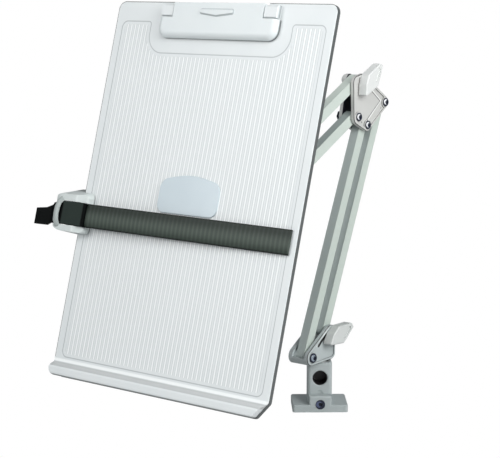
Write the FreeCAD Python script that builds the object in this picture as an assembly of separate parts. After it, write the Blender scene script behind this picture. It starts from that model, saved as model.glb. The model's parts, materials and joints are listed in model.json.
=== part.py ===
import FreeCAD, Part
import math
import os
from FreeCAD import Placement, Rotation, Vector

# Copy holder with line guide, in millimetres.
# X runs across the board and along every arm pivot, -Y is the reader's side, Z is up.
# The origin is the middle of the foot's underside, on the swivel axis.

# Fits
RUN = 0.05                      # radial clearance of a shaft in its hole
SIDE = 0.1                      # side clearance between an arm bar and a boss

# Foot and post
FOOT_TURN = 40.0                # turn of the foot against the arm at rest, degrees
FOOT_WIDTH = 52.0
FOOT_DEPTH = 42.0
FOOT_THICK = 7.0
POST_WIDTH = 23.0
POST_DEPTH = 23.0
POST_TOP = 45.5
TOE_WIDTH = 21.2
TOE_TOP = 15.7                  # top of the block that carries the foot screw
BORE_HEIGHT = 30.7
BORE_RADIUS = 6.75
WASHER_THICK = 1.0
SWIVEL_BOLT_END = 38.2          # the bolt is screwed into the post above the bore

# Arm joints, as (y, z) in the arm's plane
ARM_LENGTH = 229.0
LOWER_LEAN = 22.7               # lean of the lower arm from upright, degrees
UPPER_DROP = 28.2               # fall of the upper arm from level, degrees
YOKE_PIVOT = (-26.0, 54.0)
YOKE_STEP = (29.5, 20.0)        # from the front bar's pivot to the rear bar's
YOKE_CORNER = (5.0, 53.0)
ELBOW_STEP = (-15.0, 8.5)       # from the lower front bar's pivot to the upper arm's
HEAD_STEP = (6.5, 34.5)         # from the upper arm's lower pivot to its upper one
TILT_STEP = (-17.55, 22.45)     # from the upper arm's lower pivot to the board's tilt pivot

# Bars, side plates and fastenings
BAR_WIDTH = 9.0
BAR_DEPTH = 10.0
BAR_WALL = 1.1
PLATE_INNER = 5.8                # faces of the elbow's and the head's side plates
PLATE_OUTER = 9.4
YOKE_INNER = 7.2                 # faces of the yoke's side plates
YOKE_OUTER = 11.2
POCKET_DEPTH = 1.3
RIM = 2.2
BOSS_RADIUS = 6.0
SHANK = 3.0                     # radius of every pivot bolt
EDGE_BREAK = 0.6                # slope on the edges of plates and castings
NUT_FLATS = 9.0
LEVER_GAP = 0.3
LEVER_THICK = 9.0

# Board, measured up from the ledge line (z) and back from the face (y)
BOARD_TILT = 16.2
BOARD_WIDTH = 240.0
BOARD_HEIGHT = 326.0
LEDGE_DROP = 11.5
LEDGE_REACH = 5.8
PANEL_THICK = 2.0
BOARD_THICK = 5.2
SHELL_WALL = 1.5
RIM_OUT = 0.5                   # how far the dark shell stands out round the panel
RIM_FRONT = 0.4
CORNER_CUT = (11.0, 14.0)       # cut off each lower corner, across and up
LEDGE_END = 7.0                 # rounding of the ledge's lower left end
SCREW_TIP = BOARD_THICK - 2.2   # where the bracket's screws end inside the board
TILT_HEIGHT = 130.0             # tilt pivot above the ledge line
TILT_BACK = 24.0                # tilt pivot behind the face
RIB_PITCH = 4.5
RIB_WIDTH = 1.3
RIB_DEPTH = 0.2

# Margins round the ribs, and the fine step that borders them
BORDER_WIDTH = 3.0
BORDER_DEPTH = 0.12
SIDE_MARGIN = 7.5
TOP_MARGIN = 17.3
LOW_MARGIN = 5.5
CLIP_MARGIN = 12.8

# Plaque
PLAQUE_WIDTH = 66.4
PLAQUE_LOW = 142.3
PLAQUE_HEIGHT = 35.3
PLAQUE_ARCH = 6.6               # rise of its top towards the middle
PLAQUE_THICK = 1.0

# Clip
CLIP_HALF = 65.2
CLIP_LOW = BOARD_HEIGHT - 32.3
CLIP_HIGH = BOARD_HEIGHT - 1.4
CLIP_FRONT = 6.5
CLIP_WALL = 3.4
CLIP_ROLL = 5.2                 # rounding of its lower edge and sides
CLIP_GAP = 1.0                  # between the clip and each lug
CLIP_AXIS = (-3.6, BOARD_HEIGHT - 9.2)      # (y, z) on the board
LUG_INNER = 50.3
LUG_OUTER = 63.2
LUG_LOW = BOARD_HEIGHT - 13.2
NOTCH_LOW = BOARD_HEIGHT - 7.6  # cut in the board's top that the clip tips into
PIN_RADIUS = 1.2
PIN_HALF = LUG_OUTER - 2.0

# Line guide
GUIDE_AXIS = (-BOARD_WIDTH / 2 - 6.0, -8.6)     # (x, y) on the board
GUIDE_LEAN = 1.75               # lean of the strip towards the board, degrees
GUIDE_MIDDLE = 130.7
HOLDER_HEIGHT = 20.2
TENON_HEIGHT = 16.0             # of the strip's end inside the holder
STRIP_HEIGHT = 20.9
STRIP_END = BOARD_WIDTH + 0.5   # far end of the strip, from the hinge
CARRIAGE_RIGHT = -BOARD_WIDTH / 2 + 13.0
CARRIAGE_LEFT = -BOARD_WIDTH / 2 - 26.5
CARRIAGE_FRONT = -13.2
CARRIAGE_BACK = BOARD_THICK + 6.8
GRIP_ROOM = 0.2                 # between the carriage and the board it slides on

# Angles of the clamping levers, degrees above the +Y direction
BASE_LEVER_ANGLE = 6.8
ELBOW_LEVER_ANGLE = 34.2


def add(point, step):
    """Sum of two (y, z) pairs."""
    return (point[0] + step[0], point[1] + step[1])


def along(point, degrees_from_up, length):
    """Point reached from (y, z) by a length at an angle from upright towards +Y."""
    angle = math.radians(degrees_from_up)
    return (point[0] + length * math.sin(angle), point[1] + length * math.cos(angle))


YOKE_REAR = add(YOKE_PIVOT, YOKE_STEP)
ELBOW_FRONT = along(YOKE_PIVOT, LOWER_LEAN, ARM_LENGTH)
ELBOW_REAR = add(ELBOW_FRONT, YOKE_STEP)
ELBOW_ARM = add(ELBOW_FRONT, ELBOW_STEP)
ELBOW_TOP = add(ELBOW_ARM, HEAD_STEP)
HEAD_LOW = along(ELBOW_ARM, -90.0 - UPPER_DROP, ARM_LENGTH)
HEAD_TOP = add(HEAD_LOW, HEAD_STEP)
TILT_PIVOT = add(HEAD_LOW, TILT_STEP)


def in_yz(u, v):
    return Vector(0, u, v)


def in_xz(u, v):
    return Vector(u, 0, v)


def in_xy(u, v):
    return Vector(u, v, 0)


def rounded_face(corners, plane):
    """Face with straight sides whose corners (u, v, radius) are rounded."""
    starts, mids, ends = [], [], []
    count = len(corners)
    for index, (u, v, radius) in enumerate(corners):
        here = plane(u, v)
        before = plane(*corners[index - 1][:2])
        after = plane(*corners[(index + 1) % count][:2])
        back = (before - here).normalize()
        onward = (after - here).normalize()
        half = back.getAngle(onward) / 2
        reach = radius / math.tan(half)
        centre = here + (back + onward).normalize() * (radius / math.sin(half))
        starts.append(here + back * reach)
        ends.append(here + onward * reach)
        mids.append(centre + (back + onward).normalize() * -radius)
    edges = []
    for index in range(count):
        if corners[index][2] > 0:
            edges.append(Part.Arc(starts[index], mids[index], ends[index]).toShape())
        following = starts[(index + 1) % count]
        if (following - ends[index]).Length > 1e-6:
            edges.append(Part.makeLine(ends[index], following))
    return Part.Face(Part.Wire(edges))


def belt_face(circles, plane):
    """Face inside a belt pulled round circles (u, v, radius) given anticlockwise."""
    count = len(circles)
    angles = []
    for index, (u, v, radius) in enumerate(circles):
        next_u, next_v, next_radius = circles[(index + 1) % count]
        run = math.hypot(next_u - u, next_v - v)
        heading = math.atan2(next_v - v, next_u - u)
        angles.append(heading - math.acos((radius - next_radius) / run))
    edges = []
    for index, (u, v, radius) in enumerate(circles):
        arrive = angles[index - 1]
        turn = (angles[index] - arrive) % (2 * math.pi)
        points = []
        for angle in (arrive, arrive + turn / 2, arrive + turn):
            points.append(plane(u + radius * math.cos(angle), v + radius * math.sin(angle)))
        edges.append(Part.Arc(*points).toShape())
        next_u, next_v, next_radius = circles[(index + 1) % count]
        leave = angles[index]
        landing = plane(next_u + next_radius * math.cos(leave), next_v + next_radius * math.sin(leave))
        edges.append(Part.makeLine(points[2], landing))
    return Part.Face(Part.Wire(edges))


def raised_x(face, x_low, x_high):
    """A YZ face pulled out between two X positions."""
    face.translate(Vector(x_low, 0, 0))
    return face.extrude(Vector(x_high - x_low, 0, 0))


def raised_y(face, y_low, y_high):
    """An XZ face pulled out between two Y positions."""
    face.translate(Vector(0, y_low, 0))
    return face.extrude(Vector(0, y_high - y_low, 0))


def raised_z(face, z_low, z_high):
    """An XY face pulled out between two Z positions."""
    face.translate(Vector(0, 0, z_low))
    return face.extrude(Vector(0, 0, z_high - z_low))


def box(x_low, x_high, y_low, y_high, z_low, z_high):
    return Part.makeBox(x_high - x_low, y_high - y_low, z_high - z_low, Vector(x_low, y_low, z_low))


def rod_x(point, radius, x_low, x_high):
    return Part.makeCylinder(radius, x_high - x_low, Vector(x_low, *point), Vector(1, 0, 0))


def hex_x(point, flats, x_low, x_high):
    """Hexagonal prism along X."""
    corner = flats / math.sqrt(3)
    points = []
    for step in range(7):
        angle = math.radians(60 * step)
        points.append(in_yz(point[0] + corner * math.cos(angle), point[1] + corner * math.sin(angle)))
    return raised_x(Part.Face(Part.makePolygon(points)), x_low, x_high)


def edges_on(shape, axis, value):
    """Edges that lie wholly at one coordinate."""
    found = []
    for edge in shape.Edges:
        low = getattr(edge.BoundBox, axis + "Min")
        high = getattr(edge.BoundBox, axis + "Max")
        if abs(low - value) < 1e-4 and abs(high - value) < 1e-4:
            found.append(edge)
    return found


def edges_along(shape, axis):
    """Straight edges that run along one axis."""
    found = []
    for edge in shape.Edges:
        lengths = {"X": edge.BoundBox.XLength, "Y": edge.BoundBox.YLength, "Z": edge.BoundBox.ZLength}
        own = lengths.pop(axis)
        if own > 1e-3 and max(lengths.values()) < 1e-4:
            found.append(edge)
    return found


def domed_x(point, radius, x_flat, x_tip):
    """Round head with a sloping rim, flat towards x_flat."""
    head = rod_x(point, radius, min(x_flat, x_tip), max(x_flat, x_tip))
    return head.makeChamfer(0.4 * abs(x_tip - x_flat), edges_on(head, "X", x_tip))


def mirrored(shape):
    """The same piece for the far side of the arm."""
    return shape.mirror(Vector(0, 0, 0), Vector(1, 0, 0))


def turned_foot(shape):
    return shape.rotated(Vector(0, 0, 0), Vector(0, 0, 1), FOOT_TURN)


BOARD_BACK = Vector(0, math.cos(math.radians(BOARD_TILT)), -math.sin(math.radians(BOARD_TILT)))
BOARD_UP = Vector(0, math.sin(math.radians(BOARD_TILT)), math.cos(math.radians(BOARD_TILT)))
BOARD_ORIGIN = Vector(0, *TILT_PIVOT) - BOARD_BACK * TILT_BACK - BOARD_UP * TILT_HEIGHT


def on_board(shape):
    """Move a piece drawn against an upright board at the origin into its place."""
    place = Placement(BOARD_ORIGIN, Rotation(Vector(1, 0, 0), -BOARD_TILT))
    return shape.transformed(place.toMatrix())


def on_guide(shape):
    """Move a piece drawn round the guide's hinge, strip along +X, into its place."""
    swing = Placement(Vector(GUIDE_AXIS[0], GUIDE_AXIS[1], 0), Rotation(Vector(0, 0, 1), GUIDE_LEAN))
    return on_board(shape.transformed(swing.toMatrix()))


def save(name, shape):
    shape.exportStep("parts/" + name + ".step")


# Foot and post

def foot_plate():
    plate = box(-FOOT_WIDTH / 2, FOOT_WIDTH / 2, -FOOT_DEPTH / 2, FOOT_DEPTH / 2, 0, FOOT_THICK)
    plate = plate.makeFillet(2.5, edges_along(plate, "Z"))
    plate = plate.makeChamfer(0.7, edges_on(plate, "Z", FOOT_THICK))
    toe = box(-TOE_WIDTH / 2, TOE_WIDTH / 2, -FOOT_DEPTH / 2, -POST_DEPTH / 2, 0, TOE_TOP)
    toe = toe.makeFillet(1.5, [e for e in edges_on(toe, "Y", -FOOT_DEPTH / 2) if e.BoundBox.ZMax > 1])
    foot = plate.fuse(toe).removeSplitter()
    hole = Part.makeCylinder(2.5 + RUN, 30, Vector(0, -FOOT_DEPTH / 2 - 1, 7.5), Vector(0, 1, 0))
    seat = Part.makeCylinder(4.5 + RUN, 4, Vector(0, -FOOT_DEPTH / 2 - 1, 7.5), Vector(0, 1, 0))
    socket = box(-POST_WIDTH / 2, POST_WIDTH / 2, -POST_DEPTH / 2, POST_DEPTH / 2, 2.5, FOOT_THICK + 1)
    socket = socket.makeFillet(3.0, edges_along(socket, "Z"))
    return turned_foot(foot.cut(hole).cut(seat).cut(socket))


def foot_screw():
    front = -FOOT_DEPTH / 2 - 0.8
    head = Part.makeCylinder(4.5, 3.8, Vector(0, front, 7.5), Vector(0, 1, 0))
    head = head.makeChamfer(0.5, edges_on(head, "Y", front))
    shank = Part.makeCylinder(2.5, 19, Vector(0, front + 3.7, 7.5), Vector(0, 1, 0))
    key = hex_x((0, 0), 4.0, -0.01, 2.2).rotated(Vector(0, 0, 0), Vector(0, 0, 1), 90)
    key.translate(Vector(0, front, 7.5))
    return turned_foot(head.fuse(shank).cut(key))


def post():
    body = box(-POST_WIDTH / 2, POST_WIDTH / 2, -POST_DEPTH / 2, POST_DEPTH / 2, 2.5, POST_TOP)
    body = body.makeFillet(3.0, edges_along(body, "Z"))
    body = body.makeChamfer(0.9, edges_on(body, "Z", POST_TOP))
    front = -POST_DEPTH / 2
    bore = Part.makeCylinder(BORE_RADIUS, 19, Vector(0, front - 0.1, BORE_HEIGHT), Vector(0, 1, 0))
    mouth = Part.makeCone(BORE_RADIUS + 1, BORE_RADIUS, 1, Vector(0, front, BORE_HEIGHT), Vector(0, 1, 0))
    relief = Part.makeSphere(6, Vector(0, front - 5.0, TOE_TOP + 0.4))
    bolt_hole = Part.makeCylinder(SHANK + RUN, 30, Vector(0, 0, SWIVEL_BOLT_END - 0.4), Vector(0, 0, 1))
    screw_hole = Part.makeCylinder(2.5 + RUN, 12.5, Vector(0, front - 0.1, 7.5), Vector(0, 1, 0))
    for cut in (bore, mouth, relief, bolt_hole, screw_hole):
        body = body.cut(cut)
    return turned_foot(body)


def swivel_washer():
    ring = Part.makeCylinder(10.5, WASHER_THICK, Vector(0, 0, POST_TOP))
    return ring.cut(Part.makeCylinder(SHANK + RUN, 5, Vector(0, 0, POST_TOP - 1)))


HUB_LOW = POST_TOP + WASHER_THICK
HUB_HIGH = 60.0


def upright_hex(flats, z_low, z_high):
    prism = hex_x((0, 0), flats, z_low, z_high)
    return prism.rotated(Vector(0, 0, 0), Vector(0, 1, 0), -90)


def swivel_bolt():
    head = upright_hex(10.0, HUB_HIGH + SIDE, HUB_HIGH + 4.6)
    head = head.common(Part.makeSphere(8.2, Vector(0, 0, HUB_HIGH - 1.8)))
    length = HUB_HIGH + 1 - SWIVEL_BOLT_END
    return head.fuse(Part.makeCylinder(SHANK, length, Vector(0, 0, SWIVEL_BOLT_END)))


# Side plates

def flat_plate(circles, pivots, inner, outer):
    """Near side plate with a boss inside at each pivot."""
    plate = raised_x(belt_face(circles, in_yz), inner, outer)
    for point in pivots:
        plate = plate.fuse(rod_x(point, BOSS_RADIUS - 0.9, BAR_WIDTH / 2 + SIDE, inner))
    for point in pivots:
        plate = plate.cut(rod_x(point, SHANK + RUN, 0, outer + 1))
    return plate


def rimmed_plate(circles, pivots, inner, outer):
    """Near side plate whose outer face is sunk inside a rim, except round each pivot."""
    plate = flat_plate(circles, pivots, inner, outer)
    plate = plate.makeChamfer(EDGE_BREAK, outline_edges(plate, circles, outer))
    floor = [(y, z, max(radius - RIM, 0.8)) for y, z, radius in circles]
    pocket = raised_x(belt_face(floor, in_yz), outer - POCKET_DEPTH, outer + 1)
    for point in pivots:
        pocket = pocket.cut(rod_x(point, BOSS_RADIUS - 0.8, 0, outer + 2))
    return plate.cut(pocket)


def outline_edges(plate, circles, outer):
    """Edges of the plate's outline on its outer face, without those of its holes."""
    found = []
    for edge in edges_on(plate, "X", outer):
        if edge.Length > 2 * math.pi * (SHANK + RUN) + 0.01 or not edge.isClosed():
            found.append(edge)
    return found


YOKE_CIRCLES = [(*YOKE_PIVOT, 7.5), (*YOKE_CORNER, 5.5), (*YOKE_REAR, 6.5)]
YOKE_PIVOTS = [YOKE_PIVOT, YOKE_REAR]
ELBOW_CIRCLES = [(*ELBOW_FRONT, 6.0), (*ELBOW_REAR, 5.6), (*ELBOW_TOP, 6.2),
                 (*add(ELBOW_ARM, (-1.8, 32.2)), 6.6), (*ELBOW_ARM, 7.2)]
FAR_ELBOW_CIRCLES = [(*ELBOW_FRONT, 6.0), (*ELBOW_REAR, 5.6), (*ELBOW_TOP, 5.6), (*ELBOW_ARM, 5.8)]
ELBOW_PIVOTS = [ELBOW_FRONT, ELBOW_REAR, ELBOW_TOP, ELBOW_ARM]
HEAD_CIRCLES = [(*HEAD_LOW, 6.5), (*HEAD_TOP, 6.5), (*TILT_PIVOT, 7.5)]
HEAD_PIVOTS = [HEAD_LOW, HEAD_TOP]


def yoke_near_plate():
    return rimmed_plate(YOKE_CIRCLES, YOKE_PIVOTS, YOKE_INNER, YOKE_OUTER)


def yoke_casting():
    """Far plate in one piece with the front web and the hub that turns on the post."""
    hub = box(-YOKE_INNER, YOKE_INNER, -12.5, 9.0, HUB_LOW, HUB_HIGH)
    hub = hub.makeChamfer(0.8, edges_on(hub, "Z", HUB_HIGH))
    hole = Part.makeCylinder(SHANK + RUN, 60, Vector(0, 0, 20))
    inside = [(y, z, radius - 2.0) for y, z, radius in YOKE_CIRCLES]
    web = raised_x(belt_face(YOKE_CIRCLES, in_yz), -YOKE_INNER, YOKE_INNER)
    web = web.cut(raised_x(belt_face(inside, in_yz), -YOKE_INNER - 1, YOKE_INNER + 1))
    web = web.common(box(-20, 20, -40, -12, 40, YOKE_PIVOT[1]))
    far = mirrored(flat_plate(YOKE_CIRCLES, YOKE_PIVOTS, YOKE_INNER, YOKE_OUTER))
    return far.fuse(hub).fuse(web).cut(hole)


def elbow_near_plate():
    return rimmed_plate(ELBOW_CIRCLES, ELBOW_PIVOTS, PLATE_INNER, PLATE_OUTER)


def elbow_far_plate():
    return mirrored(flat_plate(FAR_ELBOW_CIRCLES, ELBOW_PIVOTS, PLATE_INNER, PLATE_OUTER))


def head_near_plate():
    plate = flat_plate(HEAD_CIRCLES, HEAD_PIVOTS, PLATE_INNER, PLATE_OUTER)
    return plate.cut(rod_x(TILT_PIVOT, SHANK + RUN, 0, PLATE_OUTER + 1))


def head_far_plate():
    return mirrored(head_near_plate())


# Fastenings of the arm

def cap_bolt(point, face, head_radius, head_height, tip):
    """Socket-head bolt whose head sits on the near plate's face and whose end reaches the X of its tip."""
    top = face + head_height
    head = domed_x(point, head_radius, face, top)
    shank = rod_x(point, SHANK, tip, face + 0.5)
    return head.fuse(shank).cut(hex_x(point, 4.0, top - 0.6 * head_height, top + 1))


def plate_bolt(point):
    """Bolt through the elbow's or the head's plates, for a nut on the far side."""
    return cap_bolt(point, PLATE_OUTER, 4.1, 1.6, -PLATE_OUTER - 3.8)


def far_nut(point):
    nut = hex_x(point, NUT_FLATS, -PLATE_OUTER - 3.4, -PLATE_OUTER)
    rounding = Part.makeSphere(7.2, Vector(-PLATE_OUTER + 1.0, *point))
    return nut.common(rounding).cut(rod_x(point, SHANK + RUN, -20, 0))


def clamp_bolt(point, face):
    """Bolt with a domed head on the far side, its end in the lever's hub."""
    head = domed_x(point, 4.8, -face, -face - 3.8)
    return head.fuse(rod_x(point, SHANK, -face - 0.5, face + LEVER_GAP + 6.5))


def lever(point, face, angle):
    """Clamping lever: a thick wing on the bolt with a finger hollow near its tip."""
    start = face + LEVER_GAP
    top = start + LEVER_THICK
    wing = rounded_face([(-14.5, -8.3, 1.5), (7.5, -12.2, 3), (24.5, -1, 2), (22, 3.6, 1.8), (1.5, 6.0, 5),
                         (-7, 1, 6)], in_yz)
    body = raised_x(wing, start, top)
    body = body.makeChamfer(0.8, edges_on(body, "X", top))
    hollow = belt_face([(8.6, -5.6, 2.0), (17.2, -0.4, 2.0)], in_yz)
    body = body.cut(raised_x(hollow, top - 1.4, top + 1))
    body = body.cut(rod_x((0, 0), SHANK + RUN, start - 1, start + 6.8))
    body = body.rotated(Vector(0, 0, 0), Vector(1, 0, 0), angle)
    body.translate(Vector(0, *point))
    return body


# Arm bars

def bar(point, degrees_from_up, open_end):
    """Square tube with rounded ends, drilled for a pivot at each end."""
    half = BAR_DEPTH / 2
    outline = belt_face([(0, 0, half), (0, ARM_LENGTH, half)], in_yz)
    body = raised_x(outline, -BAR_WIDTH / 2, BAR_WIDTH / 2)
    inside = box(-BAR_WIDTH / 2 + BAR_WALL, BAR_WIDTH / 2 - BAR_WALL, -half + BAR_WALL, half - BAR_WALL,
                 half + 3, ARM_LENGTH - half - 3)
    body = body.cut(inside)
    body = body.cut(rod_x((0, 0), SHANK + RUN, -20, 20))
    body = body.cut(rod_x((0, ARM_LENGTH), SHANK + open_end, -20, 20))
    body = body.rotated(Vector(0, 0, 0), Vector(1, 0, 0), -degrees_from_up)
    body.translate(Vector(0, *point))
    return body


# Board

def board_outline(grow, low, radius):
    """Face of the board's outline with its lower corners cut off."""
    half = BOARD_WIDTH / 2 + grow
    high = BOARD_HEIGHT + grow
    across, up = CORNER_CUT
    right = [(half - across, low, 4), (half, low + up, 4), (half, high, radius)]
    left = [(-x, z, corner) for x, z, corner in reversed(right)]
    return rounded_face(right + left, in_xz)


def clip_notch():
    """Room in the board's top edge for the clip to tip back into."""
    return box(-LUG_INNER + 0.4, LUG_INNER - 0.4, -1, BOARD_THICK + 1, NOTCH_LOW, BOARD_HEIGHT + 5)


BRACKET_SCREWS = [(x, z) for x in (-22, 22) for z in (TILT_HEIGHT - 22, TILT_HEIGHT + 22)]


def back_shell():
    low = -LEDGE_DROP
    shell = raised_y(board_outline(RIM_OUT, low - RIM_OUT, 7 + RIM_OUT), RIM_FRONT, BOARD_THICK)
    shell = shell.makeChamfer(1.4, edges_on(shell, "Y", BOARD_THICK))
    seat = raised_y(board_outline(RUN, low - RUN, 7), RIM_FRONT - 1, PANEL_THICK)
    half = BOARD_WIDTH / 2 - 3.5
    top = LUG_LOW - SIDE
    hollow = rounded_face([(-half, 4, 3), (half, 4, 3), (half, top, 5), (-half, top, 5)], in_xz)
    hollow = raised_y(hollow, PANEL_THICK - 0.1, BOARD_THICK - SHELL_WALL)
    shell = shell.cut(seat).cut(hollow).cut(clip_notch())
    for x, z in BRACKET_SCREWS:
        foot = PANEL_THICK + 0.2
        boss = Part.makeCylinder(4.0, BOARD_THICK - foot - 0.3, Vector(x, foot, z), Vector(0, 1, 0))
        shell = shell.fuse(boss)
    for x, z in BRACKET_SCREWS:
        shell = shell.cut(Part.makeCylinder(1.6 + RUN, 9, Vector(x, SCREW_TIP - 0.2, z), Vector(0, 1, 0)))
    return on_board(shell)


def ledge():
    """Rail under the sheet, hollowed where the paper's edge rests; its left end rounded, its right end cut."""
    drop = -LEDGE_DROP
    root = RIM_FRONT - SIDE
    profile = rounded_face([(root, drop, 0), (root, 4.5, 0), (0, 4.5, 0), (-0.2, 0.2, 3.0),
                            (-LEDGE_REACH + 1.5, -2.2, 1.0), (-LEDGE_REACH, -4.5, 2.0),
                            (-LEDGE_REACH, drop, 2.4)], lambda u, v: Vector(0, u, v))
    half = BOARD_WIDTH / 2
    rail = raised_x(profile, -half, half)
    across, up = CORNER_CUT
    ends = rounded_face([(-half, drop, LEDGE_END), (half - across, drop, 4), (half, drop + up, 2), (half, 6, 0),
                         (-half, 6, 0)], in_xz)
    return rail.common(raised_y(ends, -LEDGE_REACH - 1, 1))


def rib_field(inset, depth):
    """Recess for the ribs: the board's face less its margins and the room round the clip."""
    half = BOARD_WIDTH / 2 - SIDE_MARGIN - inset
    low = LOW_MARGIN + inset
    high = BOARD_HEIGHT - TOP_MARGIN - inset
    step = CLIP_HALF + CLIP_MARGIN + inset
    under = CLIP_LOW - CLIP_MARGIN - inset
    right = [(half, low, 4), (half, high, 6), (step + 1, high, 6), (step - 0.6, under, 17)]
    left = [(-x, z, radius) for x, z, radius in reversed(right)]
    return raised_y(rounded_face(right + left, in_xz), -1, depth)


def clip_lugs():
    """The two ears of the panel that hold the clip's pin."""
    ears = []
    for side in (-1, 1):
        low = min(side * LUG_INNER, side * LUG_OUTER)
        high = max(side * LUG_INNER, side * LUG_OUTER)
        profile = rounded_face([(0.5, LUG_LOW, 0), (0.5, BOARD_HEIGHT - 2, 0), (-5.8, BOARD_HEIGHT - 2, 3.0),
                                (-5.8, LUG_LOW, 1.2)], in_yz)
        ears.append(raised_x(profile, low, high))
    return ears


def front_panel():
    panel = raised_y(board_outline(0, -LEDGE_DROP, 7), 0, PANEL_THICK)
    panel = panel.makeChamfer(RIM_FRONT, [edge for edge in edges_on(panel, "Y", 0) if edge.BoundBox.ZMax > 20])
    gaps = []
    deep = BORDER_DEPTH + RIB_DEPTH
    count = int(BOARD_WIDTH / RIB_PITCH)
    for index in range(count):
        middle = (index - (count - 1) / 2) * RIB_PITCH
        half = (RIB_PITCH - RIB_WIDTH) / 2
        gaps.append(box(middle - half, middle + half, -1, deep, 0, BOARD_HEIGHT))
    panel = panel.cut(rib_field(0, BORDER_DEPTH))
    panel = panel.cut(rib_field(BORDER_WIDTH, deep).common(Part.makeCompound(gaps)))
    panel = panel.fuse(ledge()).fuse(clip_lugs()).cut(clip_notch())
    for side in (-1, 1):
        ends = sorted((side * (LUG_INNER - 1), side * (PIN_HALF + 0.5)))
        hole = rod_x(CLIP_AXIS, PIN_RADIUS + RUN, *ends)
        panel = panel.cut(hole)
    return on_board(panel)


def name_plaque():
    """Bare plaque with an arched top."""
    half = PLAQUE_WIDTH / 2
    high = PLAQUE_LOW + PLAQUE_HEIGHT
    side_high = high - PLAQUE_ARCH
    face = rounded_face([(-half, PLAQUE_LOW, 8), (half, PLAQUE_LOW, 8), (half, side_high, 10), (0, high, 80),
                         (-half, side_high, 10)], in_xz)
    plaque = raised_y(face, -PLAQUE_THICK, BORDER_DEPTH)
    return on_board(plaque.makeChamfer(PLAQUE_THICK / 2, edges_on(plaque, "Y", -PLAQUE_THICK)))


def board_bracket():
    """Plate on the board's back with the knuckle of the tilt joint."""
    plate = rounded_face([(-30, TILT_HEIGHT - 30, 6), (30, TILT_HEIGHT - 30, 6), (30, TILT_HEIGHT + 30, 6),
                          (-30, TILT_HEIGHT + 30, 6)], in_xz)
    plate = raised_y(plate, BOARD_THICK, BOARD_THICK + 3)
    axis = (TILT_BACK, TILT_HEIGHT)
    root = BOARD_THICK + 2
    half = PLATE_INNER - SIDE
    knuckle = raised_x(belt_face([(*axis, 7.0), (root, TILT_HEIGHT + 13, 1.0), (root, TILT_HEIGHT - 13, 1.0)],
                                 in_yz), -half, half)
    bracket = plate.fuse(knuckle).cut(rod_x(axis, SHANK + RUN, -20, 20))
    for x, z in BRACKET_SCREWS:
        bracket = bracket.cut(Part.makeCylinder(1.6 + RUN, 9, Vector(x, BOARD_THICK - 1, z), Vector(0, 1, 0)))
    return on_board(bracket)


def bracket_screws():
    screws = []
    seat = BOARD_THICK + 3
    for x, z in BRACKET_SCREWS:
        head = Part.makeCylinder(3.2, 2.0, Vector(x, seat, z), Vector(0, 1, 0))
        shank = Part.makeCylinder(1.6, seat - SCREW_TIP + 0.2, Vector(x, SCREW_TIP, z), Vector(0, 1, 0))
        screws.append(head.fuse(shank))
    return on_board(Part.makeCompound(screws))


# Clip

def clip_plate():
    """Pressing plate: a shallow pan with a thumb rise over the spring."""
    outline = rounded_face([(-CLIP_HALF, CLIP_LOW, 9), (CLIP_HALF, CLIP_LOW, 9), (CLIP_HALF, CLIP_HIGH, 0),
                            (-CLIP_HALF, CLIP_HIGH, 0)], in_xz)
    pan = raised_y(outline, -CLIP_FRONT, -0.4)
    rolled = [edge for edge in edges_on(pan, "Y", -CLIP_FRONT) if edge.BoundBox.ZMin < LUG_LOW]
    pan = pan.makeFillet(CLIP_ROLL, rolled)
    middle = CLIP_AXIS[1]
    rise = belt_face([(-16.5, middle, 2.6), (0, middle, 4.6), (16.5, middle, 2.6)], in_xz)
    rise = raised_y(rise, -CLIP_FRONT - 1.6, -CLIP_FRONT + 1)
    rise = rise.makeChamfer(1.4, edges_on(rise, "Y", -CLIP_FRONT - 1.6))
    pan = pan.fuse(rise)
    ceiling = -CLIP_FRONT + 1.6
    cheek = LUG_INNER - CLIP_GAP
    low = CLIP_LOW + CLIP_WALL
    pan = pan.cut(box(-cheek + 2, cheek - 2, ceiling, 1, low, CLIP_HIGH - CLIP_WALL))
    pan = pan.cut(box(-CLIP_HALF + CLIP_WALL, CLIP_HALF - CLIP_WALL, ceiling, 1, low, LUG_LOW - CLIP_GAP - 2.0))
    pan = pan.cut(box(-14, 14, ceiling - 1.4, 1, middle - 3, middle + 3))
    pan = pan.cut(box(-CLIP_HALF, CLIP_HALF, -2.4, 1, middle, CLIP_HIGH + 1))
    for side in (-1, 1):
        start = side * cheek
        end = side * (CLIP_HALF + 2)
        pan = pan.cut(box(min(start, end), max(start, end), -20, 1, LUG_LOW - CLIP_GAP, CLIP_HIGH + 1))
    return on_board(pan.cut(rod_x(CLIP_AXIS, PIN_RADIUS + RUN, -CLIP_HALF, CLIP_HALF)))


def clip_pin():
    return on_board(rod_x(CLIP_AXIS, PIN_RADIUS, -PIN_HALF, PIN_HALF))


def leaf(width, points, thickness):
    """Spring leaf: a strip whose section follows points (u, v), with its width along the third axis."""
    front = [in_xy(u, v) for u, v in points]
    back = [in_xy(u, v + thickness) for u, v in reversed(points)]
    outline = Part.makePolygon(front + back + [front[0]])
    strip = Part.Face(outline).extrude(Vector(0, 0, width))
    strip.translate(Vector(0, 0, -width / 2))
    return strip


def clip_spring():
    """Bent leaf between the clip's hollow and the panel."""
    strip = leaf(20.0, [(0, -3.9), (5, -2.6), (11.5, -1.0), (15, -0.75)], 0.5)
    strip = strip.rotated(Vector(0, 0, 0), Vector(0, 1, 0), 90)
    strip.translate(Vector(0, 0, CLIP_AXIS[1] - 3.5))
    return on_board(strip)


# Line guide

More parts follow.
